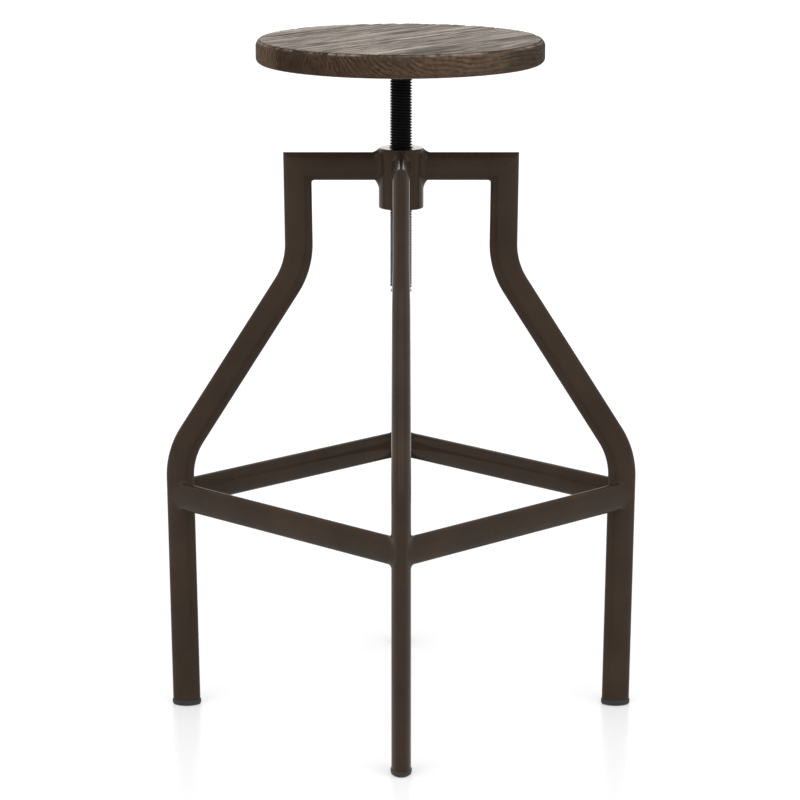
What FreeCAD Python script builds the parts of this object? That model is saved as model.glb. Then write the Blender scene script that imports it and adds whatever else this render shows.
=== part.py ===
# Adjustable bar stool. A round wooden seat stands on a screw that climbs through a threaded hub.
# Four arms of oval steel tube leave the hub, and each is mitred to a bent leg of the same tube.
# Four rails of a thinner tube are coped to the legs as a footrest, and plastic plugs close the legs' ends.
# The origin is on the floor, on the axis of the screw, with +Z up and the legs along X and Y.

import FreeCAD
import Part
import math
import os

# Oval tube of the arms and legs. The rails share its depth and its wall
tube_depth = 30.0
tube_width = 20.0
tube_nose = 6.5
tube_wall = 1.5

# Arms and legs, by their centre lines
arm_height = 598.0
corner_reach = 110.5
upper_straight = 108.0
upper_bend_reach = 109.2
slant_drop = 207.0
lower_bend_reach = 240.3
foot_reach = 236.3
bend_radius = 85.0

# Footrest rails, of a thinner tube as deep as the legs' tube, below the lower bend of the legs
rail_drop = 45.0
rail_width = 15.0
rail_nose = 5.5
rail_set_in = 0.6
rail_weld_leg = 3.5
rail_weld_dressing = 0.6

# Hub
hub_diameter = 48.0
hub_length = 64.5
hub_above_arms = 5.0
hub_edge_bevel = 1.5
hub_bore_bevel = 1.5
hub_weld_radius = 6.0

# Screw, as it stands at this height of the seat
screw_diameter = 24.0
screw_running_clearance = 0.1
screw_above_hub = 91.0
screw_below_hub = 88.7
neck_diameter = 16.0
neck_gap = 1.8
stop_ring_diameter = 22.8
stop_ring_thickness = 2.2
stop_ring_bevel = 0.4
stop_ring_play = 0.1
end_head_diameter = 19.0
end_head_thickness = 1.2

# Seat, glued up from staves
seat_diameter = 305.0
seat_thickness = 25.0
seat_top_radius = 7.0
seat_bottom_radius = 5.0
stave_count = 5
grain_angle = 50.0

# Steel plate under the seat, with its weld and wood screws
plate_diameter = 110.0
plate_thickness = 5.0
plate_edge_bevel = 1.0
plate_fit_clearance = 0.05
plate_weld_leg = 5.0
screw_circle = 80.0
wood_screw_count = 4
wood_screw_shank = 5.0
wood_screw_bite = 16.0
wood_screw_tip = 4.0
wood_screw_head = 10.0
wood_screw_head_height = 3.0
wood_screw_head_bevel = 1.2
wood_screw_clearance = 0.25
pilot_clearance = 0.05
pilot_spare_depth = 1.0

# Plastic plugs in the legs
plug_flange = 6.0
plug_lip = 0.8
plug_edge_bevel = 2.5
plug_depth = 24.0
plug_wall = 2.0
plug_rib_count = 3
plug_rib_height = 1.5
plug_rib_proud = 1.0
plug_fit_clearance = 0.05

# Heights and places that follow from these
arm_top = arm_height + tube_depth / 2
hub_top = arm_top + hub_above_arms
hub_bottom = hub_top - hub_length
hub_radius = hub_diameter / 2
screw_radius = screw_diameter / 2
seat_underside = hub_top + screw_above_hub
seat_top = seat_underside + seat_thickness
stop_ring_top = hub_bottom - screw_below_hub
upper_bend_height = arm_height - upper_straight
lower_bend_height = upper_bend_height - slant_drop
rail_height = lower_bend_height - rail_drop

# Each leg by the side that it stands on, with the turn from +X about the axis of the screw
leg_turns = {"right": 0.0, "rear": 90.0, "left": 180.0, "front": 270.0}
rail_turns = {"rear_right": 0.0, "rear_left": 90.0, "front_left": 180.0, "front_right": 270.0}

UP = FreeCAD.Vector(0, 0, 1)
OUT = FreeCAD.Vector(1, 0, 0)
SIDE = FreeCAD.Vector(0, 1, 0)
BASE = FreeCAD.Vector(0, 0, 0)
FAR = 4 * (arm_height + seat_diameter)
SAME_PLACE = 0.01


def at(reach, height):
    """A point in the plane of the right leg, by its distance from the axis and its height."""
    return FreeCAD.Vector(reach, 0, height)


def turned(shape, angle):
    """A copy of a shape, turned about the axis of the screw."""
    copy = shape.copy()
    copy.rotate(BASE, UP, angle)
    return copy


def oval_outline(centre, depth_direction, width_direction, depth, width, nose):
    """A closed outline of four tangent arcs: a round nose at each end and a shallow curve on each flank."""
    nose_centre = depth / 2 - nose
    nose_gap = width / 2 - nose
    flank_centre = (nose_centre**2 - nose_gap**2) / (2 * nose_gap)
    share = nose / (nose_gap + flank_centre)
    meet_depth = nose_centre * (1 + share)
    meet_width = flank_centre * share

    def arc(*places):
        points = [centre + depth_direction * along + width_direction * across for along, across in places]
        return Part.Arc(*points).toShape()

    edges = []
    for way in (1, -1):
        near = (way * meet_depth, -way * meet_width)
        far = (way * meet_depth, way * meet_width)
        opposite = (-way * meet_depth, way * meet_width)
        edges.append(arc(near, (way * depth / 2, 0), far))
        edges.append(arc(far, (0, way * width / 2), opposite))
    return Part.Wire(edges)


def tube_outline(centre, depth_direction, grow):
    """The outline of the tube of arms and legs, with its width along SIDE, grown outwards all round."""
    return oval_outline(
        centre,
        depth_direction,
        SIDE,
        tube_depth + 2 * grow,
        tube_width + 2 * grow,
        tube_nose + grow,
    )


def kept_side(point, direction):
    """A large block that fills the side of a plane that the direction points to."""
    block = Part.makeBox(FAR, FAR, FAR, FreeCAD.Vector(-FAR / 2, -FAR / 2, 0))
    block.Placement = FreeCAD.Placement(point, FreeCAD.Rotation(UP, direction))
    return block


def bent_path(points, radius):
    """A wire of straight runs through the points, with a tangent arc at each inner point."""
    edges = []
    start = points[0]
    for before, corner, after in zip(points, points[1:], points[2:]):
        back = (before - corner).normalize()
        ahead = (after - corner).normalize()
        half_turn = (math.pi - back.getAngle(ahead)) / 2
        inset = radius * math.tan(half_turn)
        to_centre = (back + ahead).normalize()
        middle = corner + to_centre * (radius / math.cos(half_turn) - radius)
        arc_start = corner + back * inset
        arc_end = corner + ahead * inset
        edges.append(Part.LineSegment(start, arc_start).toShape())
        edges.append(Part.Arc(arc_start, middle, arc_end).toShape())
        start = arc_end
    edges.append(Part.LineSegment(start, points[-1]).toShape())
    return Part.Wire(edges)


def round_bar(radius, bottom, top):
    """An upright round bar on the axis of the screw."""
    return Part.makeCylinder(radius, top - bottom, FreeCAD.Vector(0, 0, bottom))


def edges_at(shape, height):
    """The edges of a shape that lie flat at one height."""
    found = []
    for edge in shape.Edges:
        box = edge.BoundBox
        if abs(box.ZMin - height) < SAME_PLACE and abs(box.ZMax - height) < SAME_PLACE:
            found.append(edge)
    return found


# Centre line of the right leg, with its mitre plane at the corner that it shares with the arm
corner = at(corner_reach, arm_height)
upper_bend = at(upper_bend_reach, upper_bend_height)
lower_bend = at(lower_bend_reach, lower_bend_height)
foot = at(foot_reach, 0)
leg_start_direction = (upper_bend - corner).normalize()
leg_end_direction = (foot - lower_bend).normalize()
mitre_normal = (OUT + leg_start_direction).normalize()


def lower_leg_reach(height):
    """How far the lower leg's centre line stands from the axis at a height."""
    share = height / lower_bend_height
    return foot_reach + share * (lower_bend_reach - foot_reach)


# Where the rails lie: their outer faces run onto the noses of the legs, a little inside them
nose_reach = lower_leg_reach(rail_height) + tube_depth / 2 - tube_nose
rail_line = nose_reach + (tube_nose - rail_set_in - rail_width / 2) * math.sqrt(2)


def make_arm(grow):
    """The right arm as a full bar, from inside the hub to its mitre with the leg."""
    face = Part.Face(tube_outline(at(0, arm_height), UP, grow))
    bar = face.extrude(OUT * (corner_reach + tube_depth))
    return bar.common(kept_side(corner, -mitre_normal))


def make_leg(grow):
    """The right leg as a full bar, from its mitre with the arm down to its plug."""
    start = corner - leg_start_direction * tube_depth
    end = foot + leg_end_direction * tube_depth
    path = bent_path([start, upper_bend, lower_bend, end], bend_radius)
    depth_direction = SIDE.cross(leg_start_direction).normalize()
    bar = path.makePipeShell([tube_outline(start, depth_direction, grow)], True, False)
    bar = bar.common(kept_side(corner, mitre_normal))
    return bar.common(kept_side(at(0, plug_flange), UP))


def make_rail(grow):
    """The rear right rail as a full bar that runs on past both legs."""
    along = (SIDE - OUT).normalize()
    outward = (SIDE + OUT).normalize()
    start = FreeCAD.Vector(rail_line + tube_depth, -tube_depth, rail_height)
    outline = oval_outline(
        start,
        UP,
        outward,
        tube_depth + 2 * grow,
        rail_width + 2 * grow,
        rail_nose + grow,
    )
    return Part.Face(outline).extrude(along * (rail_line + 2 * tube_depth) * math.sqrt(2))


def cope_rail(leg_bar):
    """The rear right rail as a full bar, with its ends coped to the right leg and the rear leg."""
    lengths = make_rail(0).cut(leg_bar).cut(turned(leg_bar, leg_turns["rear"])).Solids
    return max(lengths, key=lambda length: length.Volume)


def seam_edges(joined, first, second):
    """The edges of a joined shape that lie on both of the shapes that it was joined from."""
    seam = []
    for edge in joined.Edges:
        middle = Part.Vertex(edge.valueAt((edge.FirstParameter + edge.LastParameter) / 2))
        if max(middle.distToShape(shape)[0] for shape in (first, second)) < SAME_PLACE:
            seam.append(edge)
    return seam


def make_rail_weld(leg_bar, rail_bar):
    """The weld round the coped end of the rear right rail on the right leg, ground back on the outside."""
    joined = leg_bar.fuse(rail_bar)
    seam = seam_edges(joined, leg_bar, rail_bar)
    weld = joined.makeChamfer(rail_weld_leg, seam).cut(leg_bar).cut(rail_bar)
    inward = (SIDE + OUT).normalize().negative()
    rail_middle = FreeCAD.Vector(rail_line, 0, rail_height)
    ground_face = rail_middle - inward * (rail_width / 2 - rail_weld_dressing)
    return weld.common(kept_side(ground_face, inward))


def make_hub():
    """The threaded boss: a round bar with a bore, its edges bevelled and its bore countersunk."""
    bore_radius = screw_radius + screw_running_clearance
    hub = round_bar(hub_radius, hub_bottom, hub_top)
    hub = hub.makeChamfer(hub_edge_bevel, edges_at(hub, hub_bottom) + edges_at(hub, hub_top))
    hub = hub.cut(round_bar(bore_radius, hub_bottom, hub_top))
    wide = bore_radius + hub_bore_bevel
    top_cone = Part.makeCone(bore_radius, wide, hub_bore_bevel, at(0, hub_top - hub_bore_bevel))
    bottom_cone = Part.makeCone(wide, bore_radius, hub_bore_bevel, at(0, hub_bottom))
    return hub.cut(top_cone).cut(bottom_cone)


def make_hub_weld(arm_bar):
    """The fillet of weld metal round the root of the right arm."""
    post = round_bar(hub_radius, hub_bottom - hub_length, hub_top + hub_length)
    joined = post.fuse(arm_bar)
    seam = seam_edges(joined, post, arm_bar)
    weld = joined.makeFillet(hub_weld_radius, seam).cut(post).cut(arm_bar)
    return weld.common(kept_side(at(0, hub_top - hub_edge_bevel), -UP))


def make_plug():
    """The plug of the right leg: a flange under the tube's end and a ribbed hollow stem inside it."""
    seat = at(lower_leg_reach(plug_flange), plug_flange)
    up_the_leg = leg_end_direction.negative()
    flange = Part.Face(tube_outline(seat, OUT, plug_lip)).extrude(-UP * plug_flange)
    flange = flange.makeChamfer(plug_edge_bevel, edges_at(flange, 0))
    inside = -tube_wall - plug_fit_clearance
    stem_side = inside - plug_rib_proud
    stem = Part.Face(tube_outline(seat, OUT, stem_side)).extrude(up_the_leg * plug_depth)
    pitch = plug_depth / (plug_rib_count + 1)
    for number in range(plug_rib_count):
        rib_foot = seat + up_the_leg * (pitch * (number + 1))
        rib = Part.Face(tube_outline(rib_foot, OUT, inside)).extrude(up_the_leg * plug_rib_height)
        stem = stem.fuse(rib)
    hollow = Part.Face(tube_outline(seat, OUT, stem_side - plug_wall)).extrude(up_the_leg * 2 * plug_depth)
    return flange.fuse(stem.cut(hollow)).removeSplitter()


def make_seat():
    """The whole seat as one disc with round edges, before it is parted into staves."""
    seat = round_bar(seat_diameter / 2, seat_underside, seat_top)
    seat = seat.makeFillet(seat_top_radius, edges_at(seat, seat_top))
    seat = seat.makeFillet(seat_bottom_radius, edges_at(seat, seat_underside))
    pilot_depth = wood_screw_bite + pilot_spare_depth
    for place in wood_screw_places():
        pilot = Part.makeCylinder(wood_screw_shank / 2 + pilot_clearance, pilot_depth, place)
        seat = seat.cut(pilot)
    return seat


def wood_screw_places():
    """Where the wood screws enter the seat's underside: two along the grain and two across it."""
    places = []
    for number in range(wood_screw_count):
        angle = math.radians(grain_angle + 360.0 * number / wood_screw_count)
        reach = screw_circle / 2
        places.append(FreeCAD.Vector(reach * math.cos(angle), reach * math.sin(angle), seat_underside))
    return places


def make_staves():
    """The seat's staves, side by side across the grain."""
    seat = make_seat()
    width = seat_diameter / stave_count
    staves = []
    for number in range(stave_count):
        low = -seat_diameter / 2 + number * width
        strip = Part.makeBox(FAR, width, FAR, FreeCAD.Vector(-FAR / 2, low, 0))
        staves.append(seat.common(turned(strip, grain_angle)))
    return staves


def make_plate():
    """The round plate under the seat, bored for the screw's end and drilled for the wood screws."""
    bottom = seat_underside - plate_thickness
    plate = round_bar(plate_diameter / 2, bottom, seat_underside)
    plate = plate.makeChamfer(plate_edge_bevel, edges_at(plate, bottom))
    plate = plate.cut(round_bar(screw_radius + plate_fit_clearance, bottom, seat_underside))
    for place in wood_screw_places():
        hole = Part.makeCylinder(wood_screw_shank / 2 + wood_screw_clearance, plate_thickness, place, -UP)
        plate = plate.cut(hole)
    return plate


def make_plate_weld():
    """The ring of weld metal in the corner between the plate and the screw."""
    top = seat_underside - plate_thickness
    inner_top = at(screw_radius, top)
    outer_top = at(screw_radius + plate_weld_leg, top)
    inner_low = at(screw_radius, top - plate_weld_leg)
    profile = Part.makePolygon([inner_low, inner_top, outer_top, inner_low])
    return Part.Face(profile).revolve(BASE, UP, 360)


def make_wood_screw():
    """One wood screw on the axis of Z, its head under the plate: shank, point and bevelled pan head."""
    head_top = seat_underside - plate_thickness
    head = round_bar(wood_screw_head / 2, head_top - wood_screw_head_height, head_top)
    head = head.makeChamfer(wood_screw_head_bevel, edges_at(head, head_top - wood_screw_head_height))
    shank_top = seat_underside + wood_screw_bite - wood_screw_tip
    shank = round_bar(wood_screw_shank / 2, head_top, shank_top)
    tip = Part.makeCone(wood_screw_shank / 2, 0, wood_screw_tip, at(0, shank_top))
    return head.fuse(shank).fuse(tip).removeSplitter()


def make_screw():
    """The screw as a plain bar over its crests, with a neck and a peened head for the stop ring."""
    shoulder = stop_ring_top + neck_gap
    neck_low = stop_ring_top - stop_ring_thickness - stop_ring_play
    bar = round_bar(screw_radius, shoulder, seat_underside)
    neck = round_bar(neck_diameter / 2, neck_low, shoulder)
    head = round_bar(end_head_diameter / 2, neck_low - end_head_thickness, neck_low)
    return bar.fuse(neck).fuse(head).removeSplitter()


def make_stop_ring():
    """The loose ring that stops the screw against the hub's lower face."""
    bottom = stop_ring_top - stop_ring_thickness
    ring = round_bar(stop_ring_diameter / 2, bottom, stop_ring_top)
    ring = ring.makeChamfer(stop_ring_bevel, edges_at(ring, bottom) + edges_at(ring, stop_ring_top))
    return ring.cut(round_bar(neck_diameter / 2 + stop_ring_play, bottom, stop_ring_top))


def make_parts():
    """Every piece of the stool, by the name of its node."""
    parts = {"hub": make_hub()}
    arm_bar = make_arm(0)
    arm = arm_bar.cut(make_arm(-tube_wall)).cut(round_bar(hub_radius, hub_bottom, hub_top))
    leg_bar = make_leg(0)
    leg = leg_bar.cut(make_leg(-tube_wall))
    plug = make_plug()
    weld = make_hub_weld(arm_bar)
    welds = []
    for side, angle in leg_turns.items():
        parts["arm_" + side] = turned(arm, angle)
        parts["leg_" + side] = turned(leg, angle)
        parts["foot_plug_" + side] = turned(plug, angle)
        welds.append(turned(weld, angle))
    parts["hub_welds"] = Part.makeCompound(welds)
    rail_bar = cope_rail(leg_bar)
    rail = rail_bar.cut(make_rail(-tube_wall))
    end_weld = make_rail_weld(leg_bar, rail_bar)
    far_weld = end_weld.mirror(BASE, (OUT - SIDE).normalize())
    rail_welds = []
    for side, angle in rail_turns.items():
        parts["rail_" + side] = turned(rail, angle)
        rail_welds.append(turned(end_weld, angle))
        rail_welds.append(turned(far_weld, angle))
    parts["rail_welds"] = Part.makeCompound(rail_welds)
    for number, stave in enumerate(make_staves(), start=1):
        parts["seat_stave_%d" % number] = stave
    parts["seat_plate"] = make_plate()
    parts["plate_weld"] = make_plate_weld()
    wood_screw = make_wood_screw()
    wood_screws = []
    for place in wood_screw_places():
        screw = wood_screw.copy()
        screw.translate(FreeCAD.Vector(place.x, place.y, 0))
        wood_screws.append(screw)
    parts["wood_screws"] = Part.makeCompound(wood_screws)
    parts["seat_screw"] = make_screw()
    parts["screw_stop_ring"] = make_stop_ring()
    return parts


os.makedirs("parts", exist_ok=True)
for node, shape in make_parts().items():
    shape.exportStep(os.path.join("parts", node + ".step"))
    print(node, len(shape.Solids), "solids", round(shape.Volume), "mm3", shape.isValid())
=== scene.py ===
import math

import bmesh
import bpy
import numpy as np
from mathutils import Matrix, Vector, noise


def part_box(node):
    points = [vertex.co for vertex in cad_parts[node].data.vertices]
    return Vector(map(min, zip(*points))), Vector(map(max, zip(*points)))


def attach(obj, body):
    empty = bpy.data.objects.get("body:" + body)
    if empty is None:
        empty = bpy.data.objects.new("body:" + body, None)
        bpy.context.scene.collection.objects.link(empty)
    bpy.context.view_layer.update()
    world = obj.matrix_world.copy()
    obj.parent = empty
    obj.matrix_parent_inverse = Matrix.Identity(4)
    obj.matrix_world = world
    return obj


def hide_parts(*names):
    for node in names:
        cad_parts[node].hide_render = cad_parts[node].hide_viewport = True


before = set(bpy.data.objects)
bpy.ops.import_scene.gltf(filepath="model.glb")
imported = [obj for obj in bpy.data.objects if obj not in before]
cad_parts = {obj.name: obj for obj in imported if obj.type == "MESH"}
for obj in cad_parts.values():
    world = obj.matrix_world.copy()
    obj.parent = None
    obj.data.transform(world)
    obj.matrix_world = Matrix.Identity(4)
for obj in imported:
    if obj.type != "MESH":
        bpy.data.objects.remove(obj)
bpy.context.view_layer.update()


# Hub
# A boss turned from steel bar, bored and threaded for the screw, with its edges broken by a small bevel.
# It is sprayed with the arms, legs and rails, in one coat of bronze brown lacquer with a satin sheen.

hub_low, hub_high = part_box("hub")
hub_radius = hub_high.x
hub_bevel = 0.0015
hub_bore = 0.0119
hub_face_skin = 0.0003

lacquer_dark = (0.0387, 0.0259, 0.0176, 1)
lacquer_mid = (0.0486, 0.0322, 0.0220, 1)
lacquer_warm = (0.0603, 0.0390, 0.0255, 1)
lacquer_speck = (0.031, 0.0205, 0.0140, 1)
hub_face_steel = (0.60, 0.62, 0.64, 1)
hub_face_stain = (0.42, 0.41, 0.39, 1)


def put(tree, kind, inputs=None, **settings):
    """Adds a node, and fills its inputs with plain values or with other nodes' outputs."""
    made = tree.nodes.new(kind)
    for name, value in settings.items():
        setattr(made, name, value)
    for key, value in (inputs or {}).items():
        if isinstance(value, bpy.types.NodeSocket):
            tree.links.new(value, made.inputs[key])
        else:
            made.inputs[key].default_value = value
    return made


def ramp(tree, factor, stops):
    """A colour ramp through (place, colour) stops."""
    made = put(tree, "ShaderNodeValToRGB", {"Fac": factor})
    elements = made.color_ramp.elements
    while len(elements) < len(stops):
        elements.new(1.0)
    for element, (place, colour) in zip(elements, stops):
        element.position = place
        element.color = colour
    return made.outputs["Color"]


def new_finish(name):
    """An empty material with its shader and its object coordinates."""
    material = bpy.data.materials.new(name)
    material.use_nodes = True
    tree = material.node_tree
    shader = tree.nodes["Principled BSDF"]
    place = put(tree, "ShaderNodeTexCoord").outputs["Object"]
    return material, tree, shader, place


def spread(tree, value, low, high):
    """Stretches a texture's value between two ends."""
    made = put(tree, "ShaderNodeMapRange", {"Value": value, "To Min": low, "To Max": high})
    return made.outputs["Result"]


def mixed(tree, factor, first, second, blend="MIX"):
    """Two colours mixed by a factor, each a plain colour or another node's output."""
    made = put(tree, "ShaderNodeMix", {0: factor, 6: first, 7: second}, data_type="RGBA", blend_type=blend)
    return made.outputs[2]


def satin_lacquer():
    """Bronze brown lacquer: cloudy colour, fine dark specks and a faint orange peel."""
    material, tree, shader, place = new_finish("satin_lacquer")
    cloud = put(tree, "ShaderNodeTexNoise", {"Vector": place, "Scale": 14, "Detail": 5, "Roughness": 0.6})
    shades = [(0.30, lacquer_dark), (0.50, lacquer_mid), (0.72, lacquer_warm)]
    colour = ramp(tree, cloud.outputs["Fac"], shades)
    dust = put(tree, "ShaderNodeTexVoronoi", {"Vector": place, "Scale": 330, "Randomness": 1})
    far_from_speck = put(
        tree, "ShaderNodeMapRange", {"Value": dust.outputs["Distance"], "From Min": 0.06, "From Max": 0.14}
    )
    specked = mixed(tree, far_from_speck.outputs["Result"], lacquer_speck, colour)
    tree.links.new(specked, shader.inputs["Base Color"])
    sheen = put(tree, "ShaderNodeTexNoise", {"Vector": place, "Scale": 60, "Detail": 4})
    tree.links.new(spread(tree, sheen.outputs["Fac"], 0.13, 0.22), shader.inputs["Roughness"])
    peel = put(tree, "ShaderNodeTexNoise", {"Vector": place, "Scale": 520, "Detail": 2})
    bump = put(
        tree, "ShaderNodeBump", {"Height": peel.outputs["Fac"], "Strength": 0.06, "Distance": 0.0006}
    )
    tree.links.new(bump.outputs["Normal"], shader.inputs["Normal"])
    shader.inputs["Specular IOR Level"].default_value = 0.10
    shader.inputs["Specular Tint"].default_value = (1.0, 0.94, 0.87, 1)
    return material


def fit(name, mesh, finish, body, slot, *nodes, crease=35):
    """Puts a finished mesh on the body that carries it, in place of its solids."""
    obj = bpy.data.objects.new(name, mesh)
    bpy.context.scene.collection.objects.link(obj)
    mesh.materials.clear()
    mesh.materials.append(finish)
    mesh.shade_smooth()
    mesh.set_sharp_from_angle(angle=math.radians(crease))
    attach(obj, body)
    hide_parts(*nodes)
    return obj


def closed(mesh, without_slivers=False):
    """Merges the doubles of a mesh and turns its faces outwards."""
    shape = bmesh.new()
    shape.from_mesh(mesh)
    bmesh.ops.remove_doubles(shape, verts=shape.verts, dist=1e-6)
    if without_slivers:
        bmesh.ops.dissolve_degenerate(shape, edges=shape.edges, dist=1e-7)
    bmesh.ops.recalc_face_normals(shape, faces=shape.faces)
    shape.to_mesh(mesh)
    shape.free()
    return mesh


def closed_mesh(name, points, faces):
    """A closed mesh from points and faces, without doubles or slivers."""
    mesh = bpy.data.meshes.new(name)
    mesh.from_pydata([tuple(p) for p in points], [], faces)
    return closed(mesh, without_slivers=True)


def turned_mesh(name, profile, steps=96):
    """A closed ring turned about the axis of the screw, from (radius, height) points."""
    points = []
    for step in range(steps):
        angle = 2 * math.pi * step / steps
        points += [(r * math.cos(angle), r * math.sin(angle), z) for r, z in profile]
    count = len(profile)
    faces = []
    for step in range(steps):
        here = step * count
        there = (step + 1) % steps * count
        for i in range(count):
            j = (i + 1) % count
            faces.append((here + i, there + i, there + j, here + j))
    return closed_mesh(name, points, faces)


def rounded(corner, radius, start, end, steps=5):
    """Points of a quarter round at a corner of a turned profile, between two angles in degrees."""
    angles = np.radians(np.linspace(start, end, steps))
    return [(corner[0] + radius * math.cos(a), corner[1] + radius * math.sin(a)) for a in angles]


def hub_lacquer():
    """The lacquer again, thin over the turned steel of the hub's upper face."""
    material = satin_lacquer()
    material.name = "hub_lacquer"
    tree = material.node_tree
    shader = tree.nodes["Principled BSDF"]
    place = put(tree, "ShaderNodeTexCoord").outputs["Object"]
    height = put(tree, "ShaderNodeSeparateXYZ", {"Vector": place}).outputs["Z"]
    face = put(tree, "ShaderNodeMath", {0: height, 1: hub_high.z - hub_face_skin}, operation="GREATER_THAN")
    stain = put(tree, "ShaderNodeTexNoise", {"Vector": place, "Scale": 90, "Detail": 3})
    steel = ramp(tree, stain.outputs["Fac"], [(0.35, hub_face_stain), (0.60, hub_face_steel)])
    lacquer = shader.inputs["Base Color"].links[0].from_socket
    tree.links.new(mixed(tree, face.outputs["Value"], lacquer, steel), shader.inputs["Base Color"])
    tree.links.new(face.outputs["Value"], shader.inputs["Metallic"])
    return material


frame_lacquer = satin_lacquer()
hub_profile = (
    rounded((hub_radius - hub_bevel, hub_low.z + hub_bevel), hub_bevel, -90, 0)
    + rounded((hub_radius - hub_bevel, hub_high.z - hub_bevel), hub_bevel, 0, 90)
    + [(hub_bore + hub_bevel, hub_high.z), (hub_bore, hub_high.z - hub_bevel)]
    + [(hub_bore, hub_low.z + hub_bevel), (hub_bore + hub_bevel, hub_low.z)]
)
fit("hub_boss", turned_mesh("hub_boss", hub_profile), hub_lacquer(), "frame", "frame_lacquer", "hub")


# Arms and legs
# Oval steel tube, 30 by 20 mm. Each leg has two bends, and is mitred and welded to a short arm.
# The bends leave the tube a little wider across, so that the upper ends and the arms look slimmer.
# The welds are ground flush, so only a small fillet is left in the inner corner of each mitre.

tube_depth = 0.030
tube_width = 0.0205
tube_nose = 0.0066
tube_waist = 0.85
waist_from = 0.43
waist_to = 0.53
arm_height = 0.598
corner_reach = 0.1105
upper_bend = (0.1092, 0.490)
lower_bend = (0.2403, 0.283)
foot_reach = 0.2363
foot_height = 0.006
bend_radius = 0.085
arm_root = 0.018
leg_turns = {"right": 0, "rear": 90, "left": 180, "front": 270}


def oval_points(depth, width, nose, per_arc=11):
    """Points and outward normals round an oval of four tangent arcs, as (along depth, along width)."""
    reach = depth / 2 - nose
    gap = width / 2 - nose
    drop = (reach**2 - gap**2) / (2 * gap)
    meet = math.atan2(drop, reach)
    long_radius = gap + drop + nose
    arcs = [
        ((reach, 0), nose, -meet, meet),
        ((0, -drop), long_radius, meet, math.pi - meet),
        ((-reach, 0), nose, math.pi - meet, math.pi + meet),
        ((0, drop), long_radius, math.pi + meet, 2 * math.pi - meet),
    ]
    places = []
    normals = []
    for centre, radius, start, end in arcs:
        for angle in np.linspace(start, end, per_arc, endpoint=False):
            normal = np.array((math.cos(angle), math.sin(angle)))
            places.append(np.array(centre) + radius * normal)
            normals.append(normal)
    return places, normals


def socket(tree, name, kind, way="INPUT", default=None):
    """A named input or output of a geometry tree."""
    made = tree.interface.new_socket(name, in_out=way, socket_type="NodeSocket" + kind)
    if default is not None:
        made.default_value = default
    return made


def slide_to_plane(tree, mesh, ring, run, point, normal):
    """Slides one end ring of a tube along its run until it lies in a cutting plane."""
    here = put(tree, "GeometryNodeInputPosition").outputs["Position"]
    gap = put(tree, "ShaderNodeVectorMath", {0: point, 1: here}, operation="SUBTRACT").outputs["Vector"]
    across = put(tree, "ShaderNodeVectorMath", {0: gap, 1: normal}, operation="DOT_PRODUCT").outputs["Value"]
    slope = put(tree, "ShaderNodeVectorMath", {0: run, 1: normal}, operation="DOT_PRODUCT").outputs["Value"]
    share = put(tree, "ShaderNodeMath", {0: across, 1: slope}, operation="DIVIDE").outputs["Value"]
    move = put(tree, "ShaderNodeVectorMath", {0: run, "Scale": share}, operation="SCALE").outputs["Vector"]
    moved = put(tree, "GeometryNodeSetPosition", {"Geometry": mesh, "Selection": ring, "Offset": move})
    return moved.outputs["Geometry"]


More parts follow.
